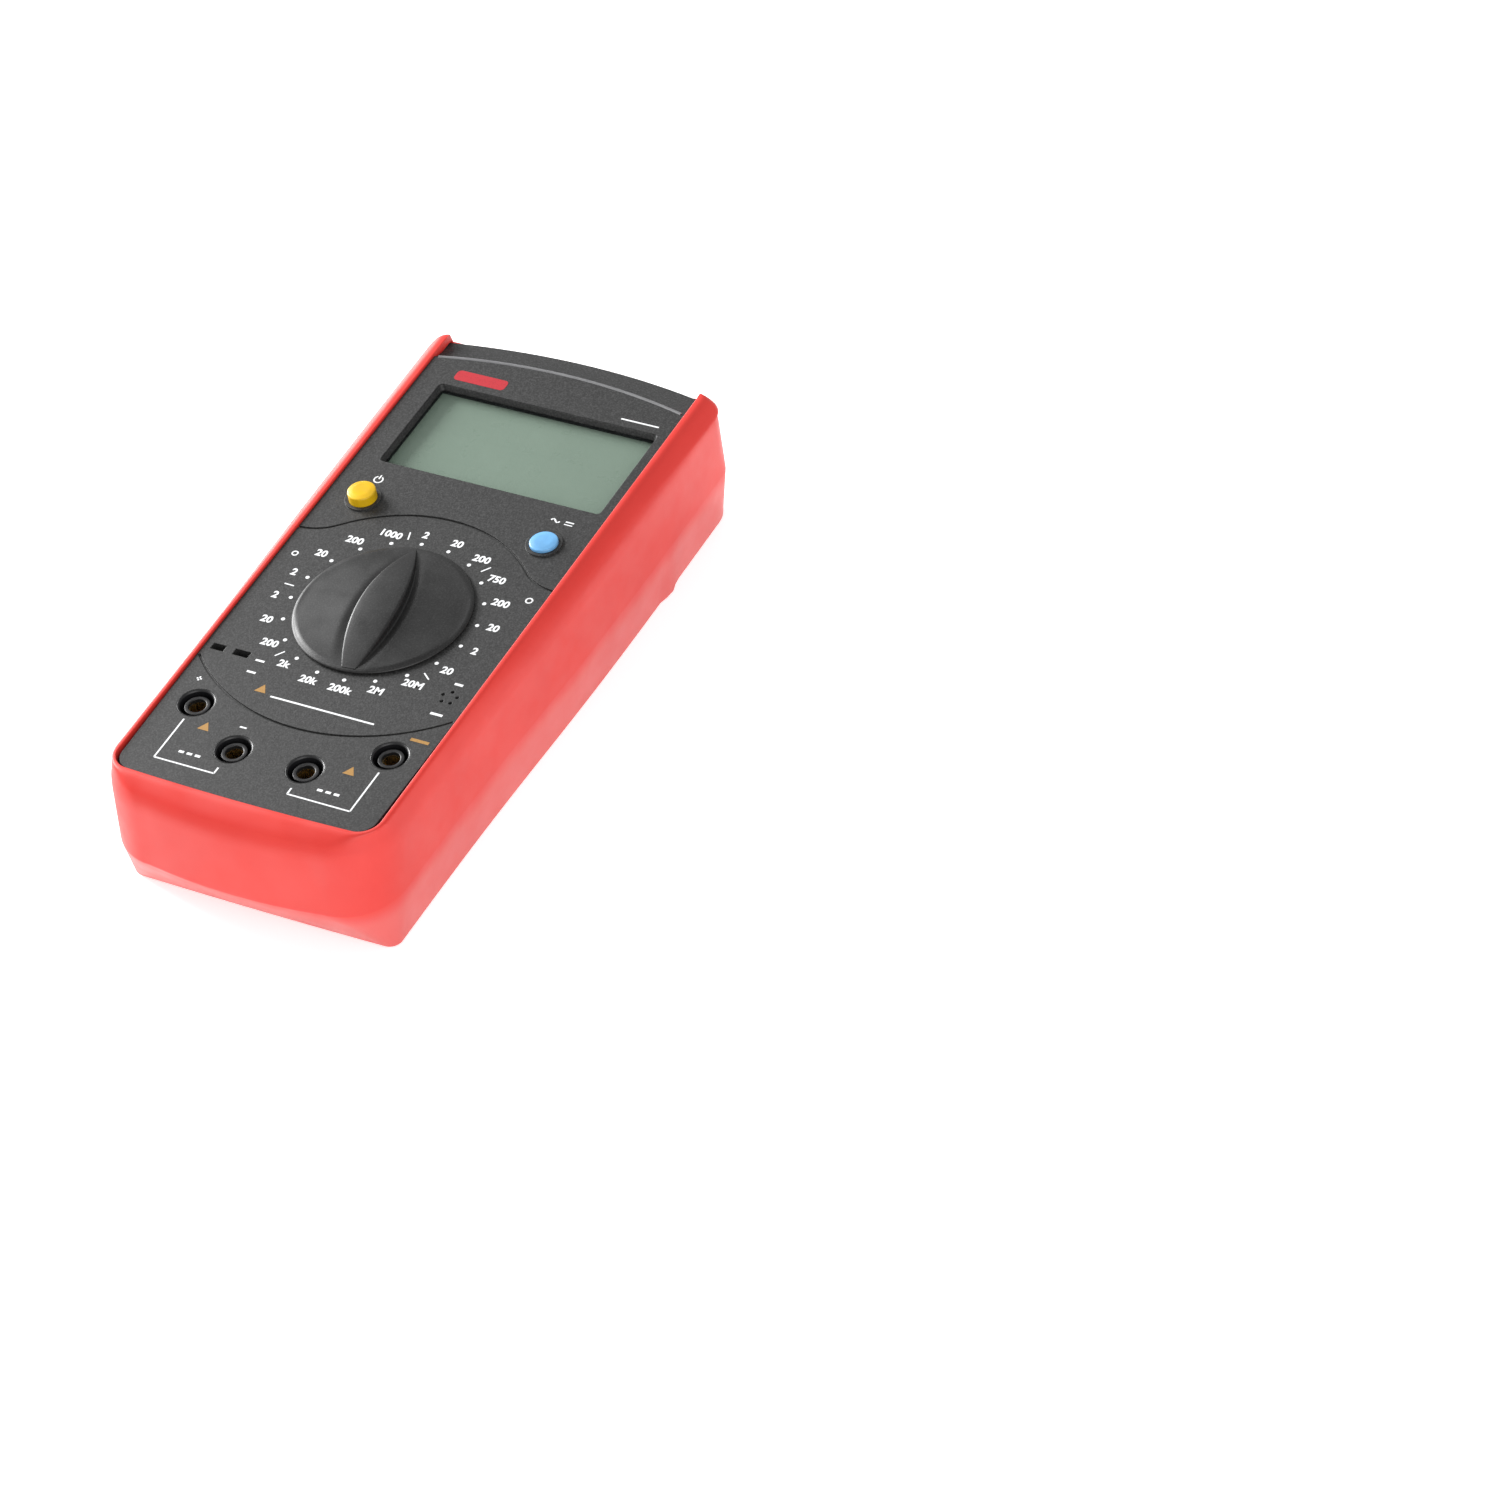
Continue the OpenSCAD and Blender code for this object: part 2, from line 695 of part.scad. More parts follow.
module buzzer() {
    color(black) at_each([buzzer_xy]) difference() {
        rod(4.4, board_top, board_top + 4.6);
        rod(0.9, board_top + 3.6, board_top + 5.6);
    }
}

module fuse_tube() {
    color([0.85, 0.92, 0.95, 0.5]) difference() {
        along_x(fuse_r, -9.9, 9.9, fuse_y, fuse_z);
        along_x(fuse_r - 0.6, -11, 11, fuse_y, fuse_z);
    }
}

module fuse_caps() {
    color(steel) for (s = [-1, 1]) translate([s * fuse_cap_x, 0, 0]) difference() {
        along_x(fuse_r + 0.25, -2.6, 2.6, fuse_y, fuse_z);
        translate([-s * 0.2, 0, 0]) along_x(fuse_r + 0.02, -2.6, 2.6, fuse_y, fuse_z);
    }
}

module fuse_clips() {
    z = input_z + board_t;
    color(brass) for (s = [-1, 1]) translate([s * fuse_cap_x, fuse_y, 0]) difference() {
        slab(z, z + 6.4) square([3, 6.6], center = true);
        slab(z + 0.5, z + 7) square([5, 5.6], center = true);
    }
}

module battery() {
    color("#3a3d44") translate([battery_x0, battery_y0, battery_z0]) {
        rotate([90, 0, 90]) linear_extrude(battery[0]) translate([battery[1] / 2, battery[2] / 2])
            rounded_rect([battery[1], battery[2]], 2);
        for (y = snap_y - [battery_y0, battery_y0])
            along_x(y > battery[1] / 2 ? 3.4 : 2.8, -3, 0.5, y, battery[2] / 2);
    }
}

module battery_snap() {
    color(black) difference() {
        translate([battery_x0 - 6.2, battery_y0 + 1, battery_z0 + 3.2]) cube([6, battery[1] - 2, 11]);
        for (y = snap_y) along_x(3.7, battery_x0 - 3.4, battery_x0 + 1, y, battery_z0 + battery[2] / 2);
    }
}

module battery_leads() {
    z = battery_z0 + 14.2;
    for (s = [[0, "#c02020"], [3, "#181818"]]) color(s[1]) {
        translate([battery_x0 - 4.6, battery_y0 + 4 + s[0], z]) cylinder(r = 0.65, h = board_z - z);
    }
}

module battery_pad() {
    color("#4a4a4a") slab(battery_z0 + battery[2], board_z)
        translate([battery_x0 + 4, battery_y0 + 3]) square([40, 20]);
}

holster();
tilt_stand();
stand_pin();
front_case();
rear_case();
battery_door();
door_screw();
case_screws();
window_lens();
lcd_glass();
lcd_frame();
zebra_strips();
main_board();
switch_tracks();
converter_chip();
film_capacitors();
trimmers();
crystal();
board_screws();
input_board();
board_pillars();
socket_housing(0);  // socket_housing_1
socket_housing(1);  // socket_housing_2
socket_housing(2);  // socket_housing_3
socket_housing(3);  // socket_housing_4
socket_tube(0);  // socket_tube_1
socket_tube(1);  // socket_tube_2
socket_tube(2);  // socket_tube_3
socket_tube(3);  // socket_tube_4
component_socket();
component_contacts();
knob();
rotor();
rotor_wipers();
detent_balls();
detent_springs();
detent_ring();
retaining_clip();
power_button();
power_plunger();
power_switch();
function_button();
function_plunger();
function_switch();
buzzer();
fuse_tube();
fuse_caps();
fuse_clips();
battery();
battery_snap();
battery_leads();
battery_pad();
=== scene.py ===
"""Looks of a hand-held digital meter in a rubber holster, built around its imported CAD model.

The frame is the model's own, in metres: +X is the meter's right, +Y points to the display end
and +Z comes up out of the panel. Sizes are written in millimetres and multiplied by MM.
"""

import json
import math

import bmesh
import bpy
from mathutils import Matrix, Quaternion, Vector


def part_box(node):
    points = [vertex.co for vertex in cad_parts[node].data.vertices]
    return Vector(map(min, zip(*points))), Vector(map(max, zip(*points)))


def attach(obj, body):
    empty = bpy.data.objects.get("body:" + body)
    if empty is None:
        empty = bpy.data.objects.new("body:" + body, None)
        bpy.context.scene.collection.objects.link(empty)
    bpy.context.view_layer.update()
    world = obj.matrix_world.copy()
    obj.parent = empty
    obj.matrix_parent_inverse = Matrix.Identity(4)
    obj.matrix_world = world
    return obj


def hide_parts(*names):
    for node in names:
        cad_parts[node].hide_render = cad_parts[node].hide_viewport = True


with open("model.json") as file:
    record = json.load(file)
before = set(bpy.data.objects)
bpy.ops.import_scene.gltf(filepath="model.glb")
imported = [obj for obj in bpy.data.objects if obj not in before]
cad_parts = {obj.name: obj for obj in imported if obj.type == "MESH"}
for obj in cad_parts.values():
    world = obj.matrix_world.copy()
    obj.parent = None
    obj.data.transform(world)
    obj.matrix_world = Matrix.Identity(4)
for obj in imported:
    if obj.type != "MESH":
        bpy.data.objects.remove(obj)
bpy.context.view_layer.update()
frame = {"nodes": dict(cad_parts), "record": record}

MM = 0.001


def middle(node):
    low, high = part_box(node)
    return (low + high) / 2 / MM


def box_mm(node):
    """Lowest and highest corner of a node, in millimetres."""
    return [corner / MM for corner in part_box(node)]


# Places taken from the model, in millimetres
PANEL_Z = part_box("socket_housing_1")[1].z / MM
DIAL_Y = middle("knob").y
DIAL_R = (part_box("knob")[1].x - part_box("knob")[0].x) / 2 / MM
KNOB_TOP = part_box("knob")[1].z / MM
POINTER = math.radians(97.5)


# ---------------------------------------------------------------- materials

class Look:
    """One Principled material, and the helpers that add fine detail to it."""

    def __init__(self, name, roughness=0.5, **sockets):
        self.material = bpy.data.materials.new(name)
        self.material.use_nodes = True
        self.tree = self.material.node_tree
        self.shader = self.tree.nodes["Principled BSDF"]
        self.shader.inputs["Roughness"].default_value = roughness
        for socket, value in sockets.items():
            self.shader.inputs[socket.replace("_", " ")].default_value = value
        self.coords = self.add("ShaderNodeTexCoord").outputs["Object"]
        self.normal = None

    def add(self, kind, inputs=(), **settings):
        """A node with some settings; inputs is a list of (socket, value or output to link)."""
        node = self.tree.nodes.new(kind)
        for key, value in settings.items():
            setattr(node, key, value)
        for socket, value in inputs:
            if isinstance(value, bpy.types.NodeSocket):
                self.tree.links.new(value, node.inputs[socket])
            else:
                node.inputs[socket].default_value = value
        return node

    def noise(self, size_mm, detail=3, stretch=(1, 1, 1)):
        """Noise whose features are about size_mm across, drawn out where stretch is small."""
        place = self.add("ShaderNodeMapping", [("Vector", self.coords), ("Scale", stretch)])
        inputs = [("Vector", place.outputs[0]), ("Scale", 1 / (size_mm * MM)), ("Detail", detail)]
        return self.add("ShaderNodeTexNoise", inputs).outputs["Fac"]

    def ramp(self, factor, *stops):
        """Colours over a factor; each stop is (place, grey level or red, green and blue)."""
        node = self.add("ShaderNodeValToRGB", [("Fac", factor)])
        points = node.color_ramp.elements
        while len(points) < len(stops):
            points.new(0.5)
        for point, (place, colour) in zip(points, stops):
            point.position = place
            rgb = (colour,) * 3 if isinstance(colour, (int, float)) else colour
            point.color = (*rgb, 1)
        return node.outputs["Color"]

    def mix(self, factor, first, second, blend="MIX"):
        node = self.add("ShaderNodeMix", data_type="RGBA", blend_type=blend)
        sockets = [(node.inputs[0], factor), (node.inputs[6], first), (node.inputs[7], second)]
        for socket, value in sockets:
            if isinstance(value, bpy.types.NodeSocket):
                self.tree.links.new(value, socket)
            else:
                socket.default_value = value
        return node.outputs[2]

    def into(self, socket, output):
        self.tree.links.new(output, self.shader.inputs[socket])
        return self

    def tint(self, colour, spread, size_mm, detail=4, stretch=(1, 1, 1)):
        """Base colour that drifts by a share either way, over patches of about size_mm."""
        low = [c * (1 - spread) for c in colour]
        high = [min(1, c * (1 + spread)) for c in colour]
        patches = self.noise(size_mm, detail, stretch)
        return self.into("Base Color", self.ramp(patches, (0.32, low), (0.68, high)))

    def gloss(self, low, high, size_mm, stretch=(1, 1, 1)):
        """Roughness that runs from low to high over patches of about size_mm."""
        ranged = self.add(
            "ShaderNodeMapRange",
            [("Value", self.noise(size_mm, 4, stretch)), ("From Min", 0.3), ("From Max", 0.7),
             ("To Min", low), ("To Max", high)],
        )
        return self.into("Roughness", ranged.outputs[0])

    def bump(self, height, depth_mm, strength=1.0):
        """Adds relief to the surface; calls pile up."""
        inputs = [("Height", height), ("Distance", depth_mm * MM), ("Strength", strength)]
        if self.normal:
            inputs.append(("Normal", self.normal))
        self.normal = self.add("ShaderNodeBump", inputs).outputs["Normal"]
        return self.into("Normal", self.normal)

    def grain(self, size_mm, depth_mm, stretch=(1, 1, 1)):
        return self.bump(self.noise(size_mm, 2, stretch), depth_mm)

    def soft_edges(self, radius_mm):
        """Edges that catch the light as if they were rounded."""
        self.normal = self.add("ShaderNodeBevel", [("Radius", radius_mm * MM)], samples=4).outputs[0]
        return self.into("Normal", self.normal)


def rubber_look():
    """Satin red rubber: paler and pinker low down as a painted reflection of the white floor, broad
    drift in the red, fine pitting, rubbed edges.
    """
    look = Look("holster_rubber", 0.42, Specular_IOR_Level=0.5)
    # Painted reflection of the white floor: below the waist crease, from 9 to 15 mm up, the red is
    # mixed paler and pinker
    height = look.add("ShaderNodeSeparateXYZ", [("Vector", look.coords)]).outputs["Z"]
    rise = look.add("ShaderNodeMapRange", [
        ("Value", height), ("From Min", 9 * MM), ("From Max", 15 * MM)],
        interpolation_type="SMOOTHSTEP")
    floor_reflection_red = look.ramp(look.noise(26), (0.35, (0.62, 0.085, 0.078)), (0.65, (0.66, 0.10, 0.09)))
    high_red = look.ramp(look.noise(26), (0.35, (0.62, 0.028, 0.020)), (0.65, (0.67, 0.035, 0.025)))
    red = look.mix(rise.outputs[0], floor_reflection_red, high_red)
    rubbed = look.ramp(look.add("ShaderNodeNewGeometry").outputs["Pointiness"], (0.5, 0), (0.58, 1))
    fine = look.ramp(look.noise(0.5), (0.4, 0.0), (0.75, 0.35))
    worn = look.mix(rubbed, fine, (0.5, 0.5, 0.5, 1), "ADD")
    # Rubbed edges and fine patches go a lighter red, over a red that already holds the painted floor
    # reflection low down
    wear_and_reflection_red = look.mix(look.ramp(worn, (0.3, 0), (1, 0.3)), red, (0.72, 0.06, 0.05, 1))
    look.into("Base Color", wear_and_reflection_red)
    look.gloss(0.36, 0.52, 9)
    look.grain(0.35, 0.012)
    return look.material


def panel_look():
    """Dark grey moulded plastic with a fine spark-eroded texture."""
    look = Look("panel_plastic", 0.5, Specular_IOR_Level=0.35)
    look.soft_edges(0.22)
    speckle = look.ramp(look.noise(0.42, 3), (0.38, 0.016), (0.5, 0.024), (0.66, 0.044))
    drift = look.ramp(look.noise(30), (0.3, 0.9), (0.7, 1.0))
    look.into("Base Color", look.mix(1.0, speckle, drift, "MULTIPLY"))
    look.gloss(0.42, 0.6, 0.8)
    look.grain(0.3, 0.03)
    return look.material


def moulded_look(name, colour, low=0.4, high=0.6, grain_mm=0.4, depth_mm=0.015, edge_mm=0.0):
    """Moulded plastic: faint patches, a satin finish that varies and a fine grain."""
    look = Look(name, (low + high) / 2, Specular_IOR_Level=0.45)
    if edge_mm:
        look.soft_edges(edge_mm)
    look.tint(colour, 0.12, 4)
    look.gloss(low, high, 3)
    look.grain(grain_mm, depth_mm)
    return look.material


def knob_look():
    """Near-black satin plastic, finger-polished in patches."""
    look = Look("knob_plastic", 0.4, Specular_IOR_Level=0.42)
    speckle = look.ramp(look.noise(0.4, 4), (0.36, 0.006), (0.55, 0.011), (0.72, 0.024))
    look.into("Base Color", speckle)
    look.gloss(0.36, 0.5, 7)
    look.grain(0.35, 0.02)
    return look.material


def metal_look(name, colour, low=0.2, high=0.4, stretch=(1, 1, 1)):
    """Plated metal with fine tool marks drawn out along one axis."""
    look = Look(name, (low + high) / 2, Metallic=1.0, Anisotropic=0.3)
    look.tint(colour, 0.1, 1.5, 3, stretch)
    look.gloss(low, high, 0.6, stretch)
    look.grain(0.15, 0.006, stretch)
    return look.material


def is_beyond(look, place, axis, limit):
    """1 where a place is further from zero than limit along one axis, and 0 elsewhere."""
    along = look.add("ShaderNodeSeparateXYZ", [("Vector", place)]).outputs[axis]
    away = look.add("ShaderNodeMath", [(0, along)], operation="ABSOLUTE").outputs[0]
    return look.add("ShaderNodeMath", [(0, away), (1, limit)], operation="GREATER_THAN").outputs[0]


def display_look():
    """Grey-green display glass: a faint cell grid, cloudy patches and a dark seal at its rim."""
    look = Look("lcd_green", 0.3, Specular_IOR_Level=0.35)
    low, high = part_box("lcd_glass")
    seal_width = 0.7 * MM
    cells = look.add("ShaderNodeTexBrick", [
        ("Vector", look.coords), ("Scale", 1 / (9 * MM)), ("Color1", (0.25, 0.308, 0.258, 1)),
        ("Color2", (0.255, 0.313, 0.263, 1)), ("Mortar", (0.242, 0.30, 0.25, 1)),
        ("Mortar Size", 0.012), ("Brick Width", 1.0), ("Row Height", 1.0)], offset=0.0)
    clouds = look.ramp(look.noise(20, 1), (0.3, 0.96), (0.7, 1.0))
    green = look.mix(1.0, cells.outputs["Color"], clouds, "MULTIPLY")
    centred = look.add("ShaderNodeMapping", [
        ("Vector", look.coords), ("Location", -(low + high) / 2)]).outputs[0]
    beside, past_end = [is_beyond(look, centred, axis, (high - low)[axis] / 2 - seal_width)
                        for axis in (0, 1)]
    seal = look.add("ShaderNodeMath", [(0, beside), (1, past_end)], operation="MAXIMUM").outputs[0]
    look.into("Base Color", look.mix(seal, green, (0.03, 0.035, 0.034, 1)))
    look.gloss(0.26, 0.34, 5)
    look.grain(0.2, 0.002)
    return look.material


def clear_look(name, tint):
    """Clear plastic: light passes straight through, and it gleams where it is seen edge on."""
    look = Look(name, 0.06, Specular_IOR_Level=0.5)
    look.gloss(0.04, 0.1, 12)
    look.tint([c * 0.06 for c in tint], 0.2, 9)
    through = look.add("ShaderNodeBsdfTransparent", [("Color", (*tint, 1))])
    facing = look.add("ShaderNodeLayerWeight", [("Blend", 0.5)]).outputs["Facing"]
    steep = look.add("ShaderNodeMath", [(0, facing), (1, 4.0)], operation="POWER")
    share = look.add("ShaderNodeMapRange", [
        ("Value", steep.outputs[0]), ("To Min", 0.03), ("To Max", 0.8)])
    both = look.add("ShaderNodeMixShader", [
        ("Fac", share.outputs[0]), (1, through.outputs[0]), (2, look.shader.outputs[0])])
    look.tree.links.new(both.outputs[0], look.tree.nodes["Material Output"].inputs["Surface"])
    return look.material


def board_look():
    """Green solder mask over copper tracks that show as paler lines."""
    look = Look("circuit_board", 0.35, Specular_IOR_Level=0.5)
    waves = look.add("ShaderNodeTexWave", [
        ("Vector", look.coords), ("Scale", 260), ("Distortion", 9), ("Detail", 1)])
    green = look.ramp(waves.outputs["Fac"], (0.45, (0.012, 0.10, 0.035)), (0.6, (0.03, 0.19, 0.07)))
    look.into("Base Color", green)
    look.gloss(0.28, 0.42, 3)
    look.bump(waves.outputs["Fac"], 0.02)
    return look.material


def two_tone_look(name, axis, edge_mm, below, above, roughness):
    """A jacket of two colours that meet across one axis, with scuffs."""
    look = Look(name, roughness, Specular_IOR_Level=0.5)
    along = look.add("ShaderNodeSeparateXYZ", [("Vector", look.coords)]).outputs[axis]
    side = look.add("ShaderNodeMath", [(0, along), (1, edge_mm * MM)], operation="GREATER_THAN")
    plain = look.mix(side.outputs[0], (*below, 1), (*above, 1))
    scuffs = look.ramp(look.noise(1.2, 5), (0.4, 0.8), (0.6, 1.0))
    look.into("Base Color", look.mix(1.0, plain, scuffs, "MULTIPLY"))
    look.gloss(roughness - 0.08, roughness + 0.1, 2)
    look.grain(0.5, 0.01)
    return look.material


def ink_look(name, colour):
    """Printed ink: slightly uneven cover, with pinholes."""
    look = Look(name, 0.55, Specular_IOR_Level=0.35)
    thin = [c * 0.72 for c in colour]
    look.into("Base Color", look.ramp(look.noise(0.3, 4), (0.3, thin), (0.48, colour)))
    look.gloss(0.48, 0.62, 0.6)
    look.grain(0.2, 0.004)
    return look.material


def make_looks():
    """A material for each material slot, and for the inks and the painted highlight on the step bead.
    """
    battery_edge = middle("battery").x + 13
    lead_edge = middle("battery_leads").y
    return {
        "holster_rubber": rubber_look(),
        "front_plastic": panel_look(),
        "rear_plastic": moulded_look("rear_plastic", (0.022, 0.022, 0.024), edge_mm=0.2),
        "clear_window": clear_look("clear_window", (0.96, 0.98, 0.97)),
        "lcd": display_look(),
        "lcd_rubber": moulded_look("lcd_rubber", (0.75, 0.45, 0.5), 0.5, 0.7),
        "knob_plastic": knob_look(),
        "socket_plastic": moulded_look("socket_plastic", (0.007, 0.007, 0.008), 0.3, 0.45, 0.3, 0.006),
        "yellow_plastic": moulded_look("yellow_plastic", (0.66, 0.40, 0.004), 0.28, 0.42, 0.5, 0.006),
        "blue_plastic": moulded_look("blue_plastic", (0.14, 0.37, 0.66), 0.28, 0.42, 0.5, 0.006),
        "brass": metal_look("brass", (0.72, 0.55, 0.28), 0.22, 0.4, (1, 1, 0.2)),
        "gold_track": metal_look("gold_track", (0.85, 0.64, 0.27), 0.15, 0.3),
        "steel": metal_look("steel", (0.58, 0.59, 0.61), 0.22, 0.42, (0.3, 1, 1)),
        "board": board_look(),
        "nylon": moulded_look("nylon", (0.78, 0.75, 0.66), 0.35, 0.5),
        "chip": moulded_look("chip", (0.02, 0.02, 0.021), 0.5, 0.7, 0.2, 0.01),
        "film": moulded_look("film", (0.62, 0.36, 0.03), 0.25, 0.4),
        "trimmer_blue": moulded_look("trimmer_blue", (0.04, 0.14, 0.5), 0.4, 0.6),
        "fuse_glass": clear_look("fuse_glass", (0.93, 0.97, 0.96)),
        "battery_jacket": two_tone_look(
            "battery_jacket", 0, battery_edge, (0.03, 0.03, 0.035), (0.6, 0.38, 0.12), 0.32),
        "foam": moulded_look("foam", (0.06, 0.06, 0.06), 0.8, 0.95, 0.25, 0.12),
        "lead_pvc": two_tone_look(
            "lead_pvc", 1, lead_edge, (0.5, 0.02, 0.02), (0.02, 0.02, 0.02), 0.4),
        "print_white": ink_look("print_white", (0.80, 0.81, 0.82)),
        "print_gold": ink_look("print_gold", (0.36, 0.19, 0.045)),
        "print_red": ink_look("print_red", (0.42, 0.012, 0.022)),
        # A pale grey that paints the highlight along the panel's step, where its edge catches the light
        "painted_highlight_plastic": moulded_look("painted_highlight_plastic", (0.14, 0.14, 0.145)),
    }


LOOKS = make_looks()


# ---------------------------------------------------------------- making pieces

def object_from(name, bm):
    """An object in metres from a bmesh in millimetres."""
    bmesh.ops.recalc_face_normals(bm, faces=bm.faces)
    mesh = bpy.data.meshes.new(name)
    bm.to_mesh(mesh)
    bm.free()
    mesh.transform(Matrix.Scale(MM, 4))
    made = bpy.data.objects.new(name, mesh)
    bpy.context.scene.collection.objects.link(made)
    return made


def shade(mesh, sharp_deg):
    """Smooth shading, with an edge kept sharp where it turns more than sharp_deg."""
    mesh.shade_smooth()
    mesh.set_sharp_from_angle(angle=math.radians(sharp_deg))


def piece_from(name, bm, slot, body, sharp_deg=35, replaced=(), look=None):
    """A finished piece: shaded, riding on its body, in its slot's material unless look says another."""
    piece = object_from(name, bm)
    shade(piece.data, sharp_deg)
    piece.data.materials.append(LOOKS[look or slot])
    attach(piece, body)
    if replaced:
        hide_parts(*replaced)
    return piece


def add_rings(bm, rings, cap_first=True, cap_last=True):
    """Closed rings of points, skinned one to the next, with the two ends capped."""
    made = [[bm.verts.new(p) for p in ring] for ring in rings]
    for lower, upper in zip(made, made[1:]):
        for i in range(len(lower)):
            j = (i + 1) % len(lower)
            bm.faces.new((lower[i], lower[j], upper[j], upper[i]))
    if cap_first:
        bm.faces.new(list(reversed(made[0])))
    if cap_last:
        bm.faces.new(made[-1])


def add_lathe(bm, profile, centre, segments=96, closed=False):
    """Turns a profile of (radius, height) about a vertical axis at centre."""
    angles = [2 * math.pi * k / segments for k in range(segments)]
    rings = [[(centre[0] + r * math.cos(a), centre[1] + r * math.sin(a), z) for a in angles]
             for r, z in profile]
    if closed:
        rings.append(rings[0])
    add_rings(bm, rings, not closed, not closed)
    if closed:
        bmesh.ops.remove_doubles(bm, verts=bm.verts, dist=1e-4)


def add_prism(bm, outline, low, high):
    add_rings(bm, [[(x, y, z) for x, y in outline] for z in (low, high)])


def rounded(points, radius, steps=6):
    """A run of (radius, height) points with every corner rounded but the two ends."""
    made = [points[0]]
    for before, at, after in zip(points, points[1:], points[2:]):
        at = Vector(at)
        ends = [at + (Vector(p) - at).normalized() * min(radius, (Vector(p) - at).length * 0.48)
                for p in (before, after)]
        for k in range(steps + 1):
            t = k / steps
            made.append(tuple(ends[0] * (1 - t) ** 2 + at * 2 * t * (1 - t) + ends[1] * t ** 2))
    made.append(points[-1])
    return made


def arc(x, y, radius, start_deg, end_deg, steps):
    turns = [math.radians(start_deg + (end_deg - start_deg) * k / steps) for k in range(steps + 1)]
    return [(x + radius * math.cos(a), y + radius * math.sin(a)) for a in turns]


def rounded_box(x0, y0, x1, y1, radius, steps=5):
    return [p for cx, cy, start in (
        (x1 - radius, y1 - radius, 0), (x0 + radius, y1 - radius, 90),
        (x0 + radius, y0 + radius, 180), (x1 - radius, y0 + radius, 270))
        for p in arc(cx, cy, radius, start, start + 90, steps)]


def smooth_step(low, high, value):
    t = min(max((value - low) / (high - low), 0), 1)
    return t * t * (3 - 2 * t)


def cutter(shape):
    """A solid that is only used to cut another; shape is a function that adds it to a bmesh."""
    bm = bmesh.new()
    shape(bm)
    return object_from("cutter", bm)


def carve(piece, shapes, sharp_deg):
    """Cuts each shape out of the piece in turn, and shades what is left."""
    cutters = [cutter(shape) for shape in shapes]
    for solid in cutters:
        cut = piece.modifiers.new("cut", "BOOLEAN")
        cut.operation = "DIFFERENCE"
        cut.solver = "EXACT"
        cut.object = solid
    graph = bpy.context.evaluated_depsgraph_get()
    carved = bpy.data.meshes.new_from_object(piece.evaluated_get(graph))
    piece.modifiers.clear()
    piece.data = carved
    for solid in cutters:
        bpy.data.objects.remove(solid)
    shade(carved, sharp_deg)


# ---------------------------------------------------------------- holster

# One level of the holster's wall: height, half width beside the dial, flare towards the display,
# how far it widens and drops beside the display, foot end, its bow and corner radius, display end,
# and how softly the wall turns at this level. All in millimetres.
HOLSTER_LEVELS = [
    (0.0, 34.2, 1.5, 0, 0, -74.8, 0.0, 2.0, 79.8, 0),
    (0.0, 37.4, 1.5, 0, 0, -78.3, 0.2, 2.6, 83.0, 1.0),
    (14.3, 39.15, 1.65, 0, 0, -85.7, 1.75, 14.5, 84.9, 0.35),
    (30.4, 39.4, 1.47, 0, 0, -83.3, 1.5, 15.0, 85.2, 2.0),
    (33.4, 37.9, 1.0, 1.7, 1.7, -81.4, 1.3, 12.5, 84.3, 1.1),
    (35.15, 36.45, 0.2, 0.6, 0, -78.3, 0.7, 7.0, 83.4, 0.9),
    (35.15, 35.05, 0.0, 0, 0, -76.8, 0.6, 5.0, 83.1, 0.3),
    (32.5, 35.05, 0.0, 0, 0, -76.8, 0.6, 5.0, 83.1, 0),
]
FLARE_LENGTH = 34.6
HINGE_Y, HINGE_Z = middle("stand_pin").y, middle("stand_pin").z
STAND_GAP = 0.4
SEAT_R = 1.9
CASE_HALF = 36.75
CASE_GAP = 0.15
CASE_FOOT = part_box("rear_case")[0].y / MM - CASE_GAP
CASE_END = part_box("rear_case")[1].y / MM + CASE_GAP
CASE_BACK_Z = 4.4
CASE_FRONT_Z = 33
PANEL_HALF = 35.1
DISPLAY_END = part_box("front_case")[1].y / MM
ARCH_R = 155


def soften(levels, steps=5):
    """The levels with each turn of the wall rounded by its own softness."""
    made = [levels[0][:-1]]
    for before, at, after in zip(levels, levels[1:], levels[2:]):
        soft = at[-1]
        reach = [min(0.45, soft / math.dist(at[:2], other[:2])) for other in (before, after)]
        ends = [[a + (o - a) * share for a, o in zip(at[:-1], other[:-1])]
                for other, share in zip((before, after), reach)]
        for k in range(steps + 1):
            t = k / steps
            made.append([p * (1 - t) ** 2 + a * 2 * t * (1 - t) + q * t ** 2
                         for p, a, q in zip(ends[0], at[:-1], ends[1])])
    made.append(levels[-1][:-1])
    return made


def hinge_swell(y, z):
    """The wall stands out a little where it holds the tilt stand's pin."""
    depth, offset, reach = 0.9, 3, 2.6
    near = math.exp(-((y - HINGE_Y - offset) / reach) ** 4)
    return depth * near * (1 - smooth_step(2.2, 4.2, z))


def holster_ring(level):
    """The wall's outline at one level, anticlockwise from the middle of the foot end."""
    z, half, flare, widen, drop, foot, bow, foot_r, end = level
    end_r = 6.5 - 4.5 * smooth_step(31, 34.5, z)

    def edge(y):
        """Half width and height of the wall at one place along it."""
        spread = smooth_step(25, 80, y)
        out = half + flare * math.tanh((y - DIAL_Y) / FLARE_LENGTH) + widen * spread
        return out + hinge_swell(y, z), z - drop * spread

    corner_x = edge(foot + foot_r)[0] - foot_r
    right = [(x, foot - bow * (1 - (x / corner_x) ** 2), z)
             for x in [corner_x * k / 14 for k in range(14)]]
    right += [(x, y, z) for x, y in arc(corner_x, foot + foot_r, foot_r, -90, 0, 14)]
    side = [foot + foot_r + (end - end_r - foot - foot_r) * k / 64 for k in range(1, 64)]
    right += [(edge(y)[0], y, edge(y)[1]) for y in side]
    end_x, end_z = edge(end - end_r)
    right += [(x, y, end_z) for x, y in arc(end_x - end_r, end - end_r, end_r, 0, 90, 10)]
    right += [((end_x - end_r) * (1 - k / 12), end, end_z) for k in range(1, 13)]
    return right + [(-x, y, z) for x, y, z in reversed(right[1:-1])]


